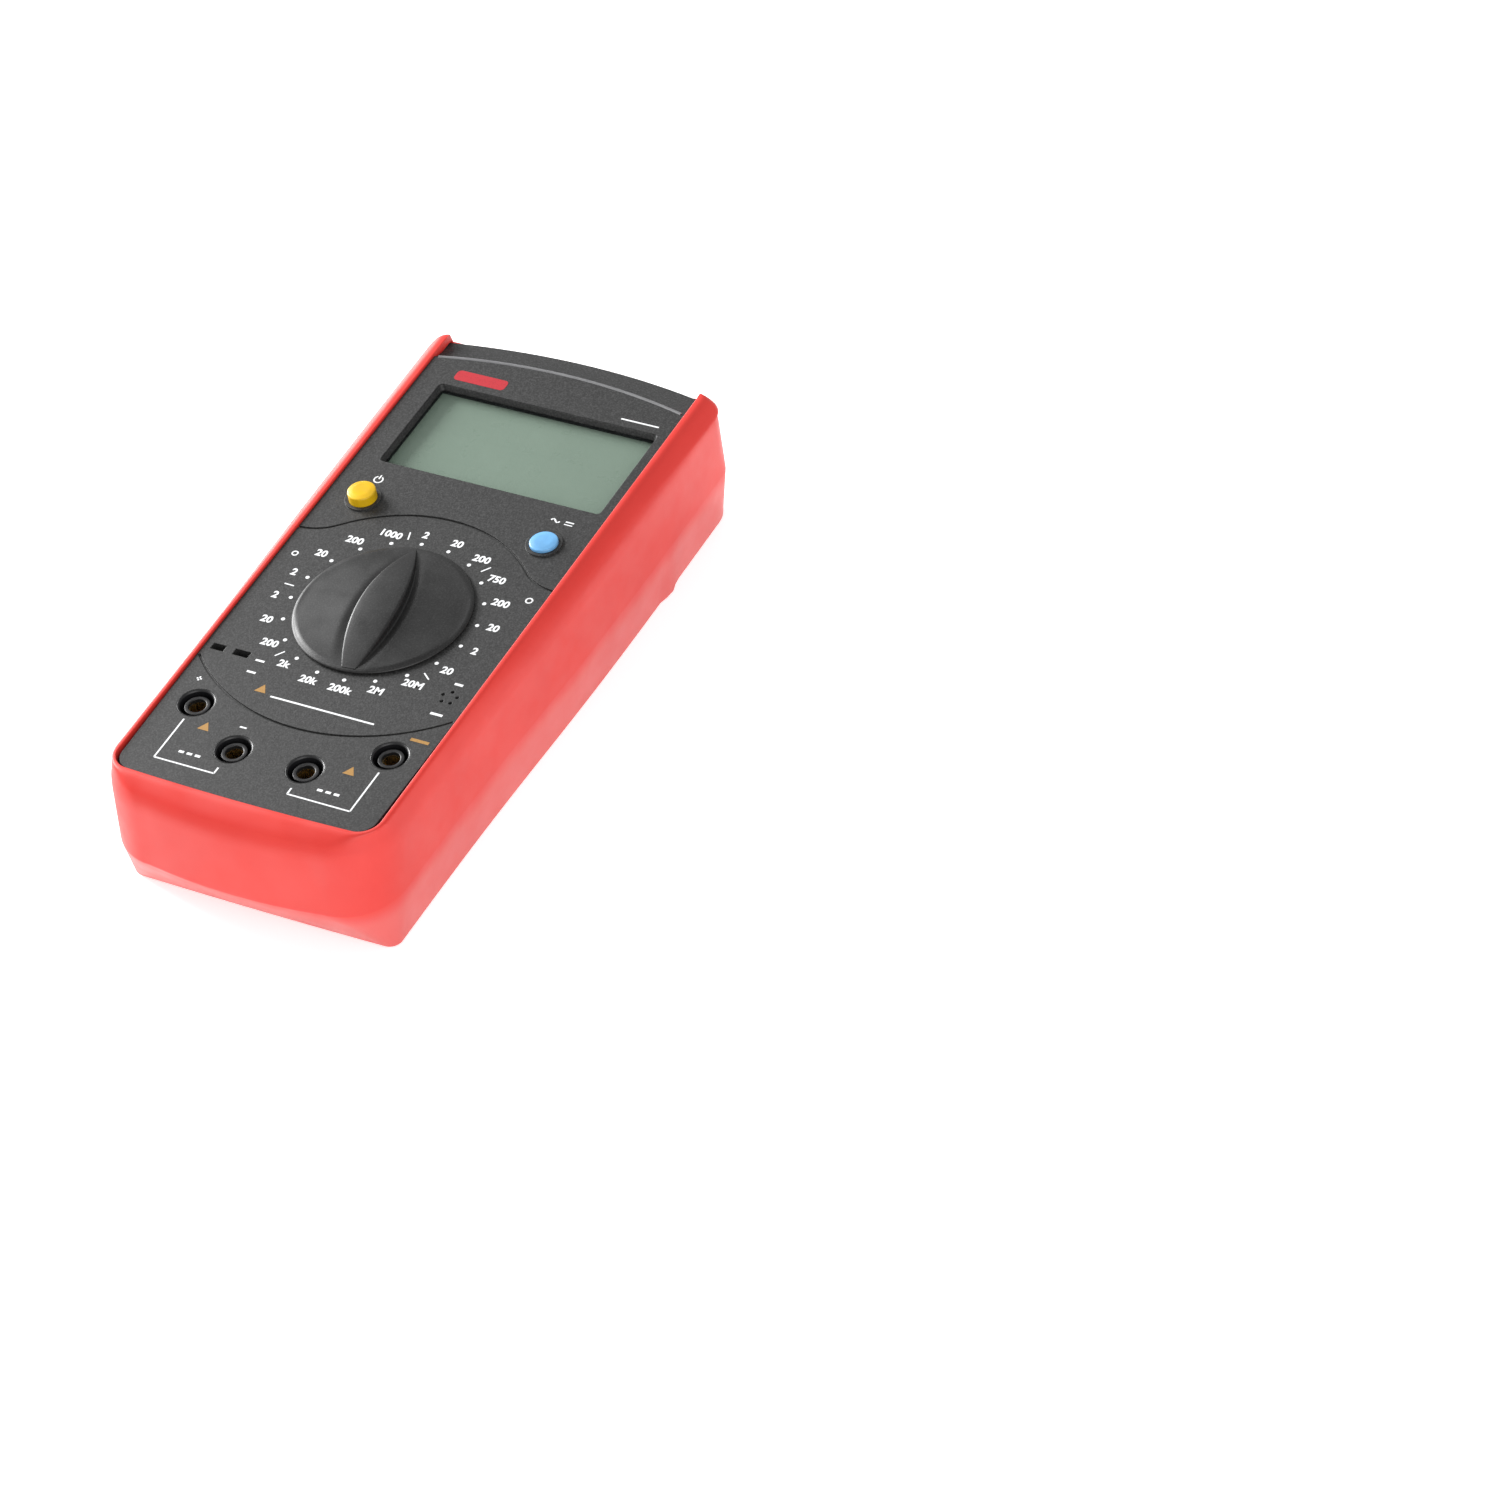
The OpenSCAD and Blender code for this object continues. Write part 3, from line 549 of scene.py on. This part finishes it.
def case_cavity(bm):
    """Room for the case: full width from beside the dial on, and a little narrower at the foot."""
    foot_r, end_r, taper = 10, 5, 0.8
    right = (arc(CASE_HALF - taper - foot_r, CASE_FOOT + foot_r, foot_r, -90, 0, 8)
             + [(CASE_HALF, DIAL_Y - 20), (CASE_HALF, DIAL_Y + 25)]
             + arc(CASE_HALF - end_r, CASE_END - end_r, end_r, 0, 90, 8))
    add_prism(bm, right + [(-x, y) for x, y in reversed(right)], CASE_BACK_Z, CASE_FRONT_Z)


def display_opening(bm):
    """The case's arched end comes out over the holster's low wall at the display end."""
    start, low_wall_z = 76, 17
    centre = DISPLAY_END + 0.2 - ARCH_R
    end = [(x, centre + math.sqrt(ARCH_R ** 2 - x ** 2))
           for x in [CASE_HALF * (1 - k / 12) for k in range(25)]]
    outline = [(-CASE_HALF, start), (CASE_HALF, start)] + end
    add_prism(bm, outline, low_wall_z, CASE_FRONT_Z - 0.02)


def panel_opening(bm):
    """The panel runs on between the two lips, out over the display end."""
    start, end = 70, 95
    corners = [(-PANEL_HALF, start), (PANEL_HALF, start), (PANEL_HALF, end), (-PANEL_HALF, end)]
    add_prism(bm, corners, CASE_FRONT_Z - 1, CASE_FRONT_Z + 7)


def stand_pocket(bm):
    """The recess that the tilt stand folds into."""
    low, high = box_mm("tilt_stand")
    half = high.x + STAND_GAP
    add_prism(bm, rounded_box(-half, low.y - 1, half, HINGE_Y + SEAT_R, 0.5), -1, 2.9)


def finger_notch(bm):
    """Room for a fingertip at the tilt stand's free end."""
    free = box_mm("tilt_stand")[0].y - 1
    add_prism(bm, rounded_box(-8, free - 8, 8, free + 5, 3), -1, 2.4)


def add_on_hinge(bm, profile, closed=False):
    """Turns a profile of (radius, place across the meter) about the stand's pin."""
    add_lathe(bm, profile, (0, 0), 40, closed)
    bmesh.ops.rotate(bm, verts=bm.verts, matrix=Matrix.Rotation(math.pi / 2, 3, "Y"))
    bmesh.ops.translate(bm, verts=bm.verts, vec=(0, HINGE_Y, HINGE_Z))


def hinge_seat(bm):
    """Room for the tilt stand's barrel."""
    low, high = box_mm("tilt_stand")
    add_on_hinge(bm, [(SEAT_R, low.x - STAND_GAP), (SEAT_R, high.x + STAND_GAP)])


def make_holster():
    bm = bmesh.new()
    add_rings(bm, [holster_ring(level) for level in soften(HOLSTER_LEVELS)])
    shell = piece_from("holster_shell", bm, "holster_rubber", "meter", replaced=["holster"])
    openings = [case_cavity, display_opening, panel_opening, stand_pocket, finger_notch, hinge_seat]
    carve(shell, openings, 38)


# ---------------------------------------------------------------- tilt stand

def stand_hollows(bm):
    """A shallow hollow in the leg's outer face, and six grooves for grip at its free end."""
    free = box_mm("tilt_stand")[0].y
    add_prism(bm, rounded_box(-15, free + 14, 15, free + 48, 4), -1, 0.85)
    for k in range(6):
        y = free + 3.2 + 1.5 * k
        add_prism(bm, rounded_box(-20, y, 20, y + 0.6, 0.25, 3), -1, 0.6)


def make_stand_leg():
    """A flat leg with rounded corners and sloped edges."""
    low, high = box_mm("tilt_stand")
    free, half, slope = low.y, high.x, 0.35
    levels = [(0.35, slope), (0.7, 0), (2.1, 0), (2.45, slope)]
    bm = bmesh.new()
    add_rings(bm, [[(x, y, z) for x, y in rounded_box(-half + s, free + s, half - s, HINGE_Y, 4)]
                   for z, s in levels])
    leg = piece_from("stand_leg", bm, "holster_rubber", "stand", 30, ["tilt_stand"])
    carve(leg, [stand_hollows], 30)


def make_stand_barrel():
    """The barrel that turns on the steel pin, and five ribs along the leg's inner face."""
    low, high = box_mm("tilt_stand")
    free, half = low.y, high.x
    bore_r, face_r, barrel_r, rib_half = 0.86, 1.4, 1.6, 0.6
    bm = bmesh.new()
    add_on_hinge(bm, [(bore_r, -half), (face_r, -half), (barrel_r, -half + 0.2),
                      (barrel_r, half - 0.2), (face_r, half), (bore_r, half)], True)
    for x in (-22, -11, 0, 11, 22):
        rib = rounded_box(x - rib_half, free + 8, x + rib_half, HINGE_Y - 2, 0.4, 3)
        add_prism(bm, rib, 2.2, 2.7)
    piece_from("stand_barrel_and_ribs", bm, "holster_rubber", "stand", 30)


# ---------------------------------------------------------------- knob

GRIP_HALF = 4.3
GRIP_FOOT_HALF = 1.7
GRIP_TIP = DIAL_R - 0.9
GRIP_BEND = (GRIP_TIP ** 2 + GRIP_HALF ** 2) / (2 * GRIP_HALF)
GRIP_BALL = 70
GRIP_STEPS = 32
DISC_Z = PANEL_Z + 1.0


def grip_edge(along):
    """Half width of the grip along it: a lens that is pointed at its tip and blunt at its foot."""
    lens = math.sqrt(GRIP_BEND ** 2 - min(abs(along), GRIP_TIP) ** 2) - GRIP_BEND + GRIP_HALF
    return lens + GRIP_FOOT_HALF * (0.5 - max(-1, min(1, along / GRIP_TIP)) / 2)


def disc_height(across, along):
    """Top of the knob's disc: it swells between the rim and a hollow beside the grip."""
    off = max(0, abs(across) - grip_edge(along))
    swell = 1 - min(1, off / 15) - 0.4 * (1 - smooth_step(0, 2.6, off))
    return DISC_Z + 1.35 * swell * (1 - min(1, abs(along) / GRIP_TIP) ** 2)


def grip_height(r):
    """Top of the grip: part of a wide ball, so it falls away to both tips."""
    return KNOB_TOP - 0.01 - (GRIP_BALL - math.sqrt(GRIP_BALL ** 2 - r ** 2))


def grip_ring(share, widen, lift):
    """One ring round the grip: share and widen set its width, and lift runs from the disc, 0, to
    the top, 1."""
    ring = []
    for side in (1, -1):
        for k in range(GRIP_STEPS):
            turn = math.pi * k / GRIP_STEPS
            along = -side * GRIP_TIP * math.cos(turn)
            u = side * (grip_edge(along) * share + widen * math.sin(turn))
            v = along * (1 - 0.04 * (1 - share))
            low = disc_height(u, v)
            high = max(grip_height(math.hypot(u, v)), low + 0.12)
            ring.append((u, v, low - 0.05 + (high - low + 0.05) * lift))
    return ring


def disc_rings():
    """The knob's disc from its underside out to the rim and in over the top."""
    side = [(2, 0.32), (DIAL_R - 0.3, 0.32), (DIAL_R, 0.5), (DIAL_R - 0.35, 0.85), (DIAL_R - 0.9, 1.0)]
    turns = [2 * math.pi * k / 128 for k in range(128)]
    rings = [[(r * math.cos(a), r * math.sin(a), PANEL_Z + z) for a in turns]
             for r, z in rounded(side, 0.3, 4)]
    for k in range(28):
        r = (DIAL_R - 1.1) * (1 - k / 28)
        rings.append([(r * math.cos(a), r * math.sin(a), disc_height(r * math.cos(a), r * math.sin(a)))
                      for a in turns])
    return rings


def close_crown(bm):
    """Faces from side to side across the last ring of the grip, with a triangle at each tip."""
    bm.verts.ensure_lookup_table()
    tip = GRIP_STEPS
    crown = bm.verts[-2 * tip:]
    for k in range(1, tip - 1):
        bm.faces.new((crown[k], crown[k + 1], crown[-k - 1], crown[-k]))
    bm.faces.new((crown[0], crown[1], crown[-1]))
    bm.faces.new((crown[tip - 1], crown[tip], crown[tip + 1]))


def make_knob():
    """A low disc with a curved grip across it, turned to where the knob points at rest."""
    bm = bmesh.new()
    add_rings(bm, disc_rings())
    levels = [(1, 0.5, 0), (1, 0.28, 0.07), (1, 0.14, 0.2), (1, 0.06, 0.45), (1, 0, 0.8),
              (0.975, 0, 0.93), (0.94, 0, 0.985), (0.88, 0, 1), (0.6, 0, 1), (0.25, 0, 1)]
    add_rings(bm, [grip_ring(*level) for level in levels], cap_last=False)
    close_crown(bm)
    turn = Matrix.Translation((0, DIAL_Y, 0)) @ Matrix.Rotation(POINTER - math.pi / 2, 4, "Z")
    bmesh.ops.transform(bm, matrix=turn, verts=bm.verts)
    piece_from("knob_grip", bm, "knob_plastic", "selector", 42, ["knob"])


# ---------------------------------------------------------------- buttons and sockets

def make_cap(name, node, slot, body):
    """A round push button with a domed face and a soft edge."""
    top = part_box(node)[1].z / MM
    stem_r, flange_r, face_r, flange_z = 1.55, 4.25, 3.5, 32.1
    turned = rounded([(stem_r, flange_z - 0.8), (flange_r, flange_z - 0.8), (flange_r, flange_z),
                      (face_r, flange_z), (face_r, top - 0.25), (face_r - 1.4, top), (0.2, top)],
                     0.35, 5)
    bm = bmesh.new()
    add_lathe(bm, turned, middle(node), 72)
    piece_from(name, bm, slot, body, 50, [node])


def make_socket(number):
    """A shrouded socket: rounded outer collar, deep ring for a plug's sleeve, inner sleeve."""
    node = f"socket_housing_{number}"
    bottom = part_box(node)[0].z / MM
    tube_r, collar_r, well_r, sleeve_r, plug_r = 2.62, 4.6, 4.05, 3.1, 2.1
    well_z, sleeve_z, tube_z = bottom + 2, PANEL_Z - 0.9, PANEL_Z - 1.95
    turned = rounded([
        (tube_r, bottom), (collar_r, bottom), (collar_r, PANEL_Z), (collar_r - 0.15, PANEL_Z),
        (well_r, PANEL_Z - 0.35), (well_r, well_z), (sleeve_r, well_z), (sleeve_r, sleeve_z),
        (plug_r + 0.05, sleeve_z), (plug_r, tube_z), (tube_r, tube_z)], 0.18, 3)
    bm = bmesh.new()
    add_lathe(bm, turned, middle(node), 64, True)
    piece_from(f"socket_{number}", bm, "socket_plastic", "meter", 40, [node])


def make_step_rim():
    """A fine rounded bead along the panel's arched step, where the end band falls away; its paler grey
    is a painted highlight along the step's edge.
    """
    centre = DISPLAY_END - 8.3 - ARCH_R
    widest = math.asin((PANEL_HALF - 1.2) / ARCH_R)
    section = [(-0.5, -0.05), (-0.3, 0.12), (0, 0.18), (0.3, 0.1), (0.45, -0.3)]
    rings = []
    for k in range(61):
        a = widest * (1 - k / 30)
        rings.append([((ARCH_R + out) * math.sin(a), centre + (ARCH_R + out) * math.cos(a), PANEL_Z + z)
                      for out, z in section])
    bm = bmesh.new()
    add_rings(bm, rings)
    # The bead takes a paler grey than the panel: a painted highlight along the step's edge
    piece_from("step_rim", bm, "front_plastic", "meter", 60, look="painted_highlight_plastic")


def make_bezel():
    """A narrow sloping frame between the panel and the clear window."""
    low, high = box_mm("window_lens")
    lap, lens_z = 1.1, high.z + 0.02
    x0, x1, y0, y1 = low.x + lap, high.x - lap, low.y + lap, high.y - lap
    levels = [(PANEL_Z - 0.12, 0.02), (PANEL_Z - 0.3, 0.14), (lens_z, 0.6), (lens_z, 0.02)]
    rings = [[(x, y, z) for x, y in rounded_box(x0 + s, y0 + s, x1 - s, y1 - s, 1.0)]
             for z, s in levels]
    bm = bmesh.new()
    add_rings(bm, rings + [rings[0]], False, False)
    bmesh.ops.remove_doubles(bm, verts=bm.verts, dist=1e-4)
    piece_from("window_bezel", bm, "front_plastic", "meter", 25)


# ---------------------------------------------------------------- printing on the panel

INK_DEPTH = 0.03


def add_flat(bm, outline):
    add_prism(bm, outline, PANEL_Z, PANEL_Z + INK_DEPTH)


def add_dot(bm, x, y, radius):
    add_flat(bm, arc(x, y, radius, 0, 345, 23))


def add_stroke(bm, points, width):
    """A line of even width through the points, each stretch of it square-ended."""
    for start, end in zip(points, points[1:]):
        a, b = Vector(start), Vector(end)
        across = (b - a).normalized().orthogonal() * width / 2
        add_flat(bm, [a + across, a - across, b - across, b + across])


def add_dash(bm, x0, x1, y, width):
    """A stroke straight across the panel, y above the dial's centre."""
    add_stroke(bm, [(x0, DIAL_Y + y), (x1, DIAL_Y + y)], width)


def add_ring_mark(bm, x, y, radius, width, start_deg=0, end_deg=350):
    """A ring, or part of one, y above the dial's centre."""
    add_stroke(bm, arc(x, DIAL_Y + y, radius, start_deg, end_deg, 16), width)


def add_number(bm, text, x, y, height):
    """A number in plain figures, centred on a place."""
    curve = bpy.data.curves.new("figures", "FONT")
    curve.body = text
    curve.size = height * 1.4
    curve.align_x, curve.align_y = "CENTER", "CENTER"
    curve.offset = 0.10
    curve.extrude = INK_DEPTH / 2
    curve.resolution_u = 3
    holder = bpy.data.objects.new("figures", curve)
    mesh = bpy.data.meshes.new_from_object(holder)
    mesh.transform(Matrix.Translation((x, y, PANEL_Z + INK_DEPTH / 2)))
    bm.from_mesh(mesh)
    bpy.data.objects.remove(holder)
    bpy.data.meshes.remove(mesh)


# The ranges, anticlockwise from the position just above the knob's right side, which one the knob
# points at, and the ranges that a short line comes before
RANGES = ["20", "200", "750", "200", "20", "2", "1000", "200", "20", "2", "2", "20", "200",
          "2k", "20k", "200k", "2M", "20M", "20", "2"]
POINTED_AT = 5
GROUP_STARTS = [3, 6, 10, 13, 18]
DOT_CIRCLE = 23.8


def dial_angle(position):
    return POINTER + (position - POINTED_AT) * 2 * math.pi / len(RANGES)


def make_dial_print():
    """A dot and a number for each range, and short lines between the groups."""
    bm = bmesh.new()
    for k, text in enumerate(RANGES):
        a = dial_angle(k)
        add_dot(bm, DOT_CIRCLE * math.cos(a), DIAL_Y + DOT_CIRCLE * math.sin(a), 0.5)
        add_number(bm, text, 27.9 * math.cos(a), DIAL_Y + 26.9 * math.sin(a), 2.15)
    for k in GROUP_STARTS:
        a = dial_angle(k - 0.5)
        add_stroke(bm, [(r * math.cos(a), DIAL_Y + r * math.sin(a)) for r in (25, 27.6)], 0.35)
    piece_from("dial_numbers", bm, "print_white", "meter")


def add_brackets(bm):
    """A bracket that joins each pair of sockets, with three dashes inside it."""
    socket_y, low_y, inner_x = -47.575, -60.81, 9.8
    for side, outer_x in ((-1, 26), (1, 26.4)):
        corners = [(outer_x, socket_y), (outer_x, low_y), (inner_x, low_y), (inner_x, low_y + 2)]
        add_stroke(bm, [(side * x, DIAL_Y + y) for x, y in corners], 0.42)
        for x in (-2.2, 0, 2.2):
            middle_x = side * 18.6 + x
            add_dash(bm, middle_x - 0.7, middle_x + 0.7, low_y + 3.6, 0.7)


def add_signs(bm):
    """A plus and a minus sign by the two left sockets."""
    x, y, half = -29.8, -34.6, 0.7
    add_dash(bm, x - half, x + half, y, 0.4)
    add_stroke(bm, [(x, DIAL_Y + y - half), (x, DIAL_Y + y + half)], 0.4)
    add_dash(bm, -12.1, -10.3, -45.4, 0.45)


def add_dial_marks(bm):
    """Rings and bars round the dial, in place of words."""
    add_dash(bm, -10.6, 17.3, -34.2, 0.5)
    add_ring_mark(bm, 31.1, 14.7, 0.8, 0.4)
    add_ring_mark(bm, -30.7, 10.8, 0.7, 0.4)
    add_dash(bm, 28.4, 30.6, -16, 0.7)
    add_dash(bm, 27.8, 31, -26.4, 0.7)
    for y in (-24.6, -28.6):
        add_dash(bm, -20.4, -18, y, 0.6)


def add_button_marks(bm):
    """A power mark by the left button, and wave and bar marks by the right one."""
    x, y = -24.9, 40.6
    add_ring_mark(bm, x, y, 1.1, 0.38, 120, 420)
    add_stroke(bm, [(x, DIAL_Y + y + 0.2), (x, DIAL_Y + y + 1.6)], 0.38)
    wave = [(22.2 + 0.4 * k, DIAL_Y + 41.6 + 0.5 * math.sin(k * math.pi / 3)) for k in range(7)]
    add_stroke(bm, wave, 0.42)
    add_dash(bm, 26, 28.2, 42, 0.4)
    add_dash(bm, 26, 28.2, 41.1, 0.3)


def make_panel_marks():
    """The small white marks off the dial, and a thin rule at the display's top right."""
    bm = bmesh.new()
    add_brackets(bm)
    add_signs(bm)
    add_dial_marks(bm)
    add_button_marks(bm)
    add_dash(bm, 20.8, 31.1, 79.6, 0.45)
    piece_from("panel_marks", bm, "print_white", "meter")


def make_gold_marks():
    """Plain triangles by the sockets and the dial, and a short bar."""
    bm = bmesh.new()
    size = 1.75
    for x, y in ((-19.9, -48.4), (19.9, -49.7), (-13.8, -32.9)):
        add_flat(bm, [(x + size * math.cos(a), DIAL_Y + y + size * math.sin(a))
                      for a in (math.radians(90), math.radians(210), math.radians(330))])
    add_dash(bm, 27.8, 32.6, -35.5, 0.9)
    piece_from("gold_marks", bm, "print_gold", "meter")


def make_accent_bar():
    """A plain red bar at the display's top left corner."""
    bm = bmesh.new()
    x, y, half, rise = -19.2, DIAL_Y + 81.2, 7.1, 1.8
    add_flat(bm, rounded_box(x - half, y - rise, x + half, y + rise, 1.1))
    piece_from("accent_bar", bm, "holster_rubber", "meter", look="print_red")


# ---------------------------------------------------------------- dressing the CAD nodes

def dress_nodes():
    """Every CAD node takes the material of its own slot."""
    for row in frame["record"]["subparts"]:
        mesh = frame["nodes"][row["node"]].data
        mesh.materials.clear()
        mesh.materials.append(LOOKS[row["material_slot"]])


# ---------------------------------------------------------------- camera, light and floor

def make_camera():
    """Looks down over the foot's right corner, at a point on the floor beside the meter."""
    azimuth, elevation, roll = math.radians(34.08), math.radians(43.22), math.radians(-10.0)
    aim, distance = Vector((0.0825, 0.0077, 0.0)), 1.243
    back = Vector((math.sin(azimuth) * math.cos(elevation),
                   -math.cos(azimuth) * math.cos(elevation), math.sin(elevation)))
    camera = bpy.data.objects.new("camera", bpy.data.cameras.new("camera"))
    bpy.context.scene.collection.objects.link(camera)
    camera.data.sensor_width = 36
    camera.data.lens = 128.0
    camera.data.clip_start, camera.data.clip_end = 0.01, 20
    camera.location = aim + back * distance
    camera.rotation_mode = "QUATERNION"
    camera.rotation_quaternion = (-back).to_track_quat("-Z", "Y") @ Quaternion((0, 0, 1), roll)
    bpy.context.scene.camera = camera


def add_softbox(name, place, size, watts):
    """A large square lamp that faces the meter."""
    lamp = bpy.data.objects.new(name, bpy.data.lights.new(name, "AREA"))
    bpy.context.scene.collection.objects.link(lamp)
    lamp.data.size = size
    lamp.data.energy = watts
    lamp.location = place
    lamp.rotation_mode = "QUATERNION"
    lamp.rotation_quaternion = (-Vector(place)).to_track_quat("-Z", "Y")


def make_sky():
    """Even white light from all round."""
    world = bpy.data.worlds.new("studio")
    bpy.context.scene.world = world
    world.use_nodes = True
    sky = world.node_tree.nodes["Background"]
    sky.inputs["Color"].default_value = (1.0, 1.0, 1.0, 1)
    sky.inputs["Strength"].default_value = 0.55


def make_floor():
    """A plain white floor that glows a little, so that it shows as pale as the background."""
    half = 4
    corners = [(-half, -half, 0), (half, -half, 0), (half, half, 0), (-half, half, 0)]
    mesh = bpy.data.meshes.new("floor")
    mesh.from_pydata(corners, [], [(0, 1, 2, 3)])
    floor = bpy.data.objects.new("floor", mesh)
    bpy.context.scene.collection.objects.link(floor)
    look = Look("floor_paper", 0.9, Emission_Strength=0.42)
    look.shader.inputs["Emission Color"].default_value = (1, 1, 1, 1)
    look.tint((0.93, 0.93, 0.94), 0.01, 80)
    mesh.materials.append(look.material)


make_camera()
make_sky()
add_softbox("key", (-1.05, 0.28, 0.45), 0.6, 33)
add_softbox("fill", (0.9, -0.9, 0.8), 1.2, 13)
make_floor()
bpy.context.scene.view_settings.view_transform = "Standard"

dress_nodes()
make_holster()
make_stand_leg()
make_stand_barrel()
make_knob()
make_cap("power_cap", "power_button", "yellow_plastic", "power_key")
make_cap("function_cap", "function_button", "blue_plastic", "function_key")
for number in (1, 2, 3, 4):
    make_socket(number)
make_bezel()
make_step_rim()
make_dial_print()
make_panel_marks()
make_gold_marks()
make_accent_bar()
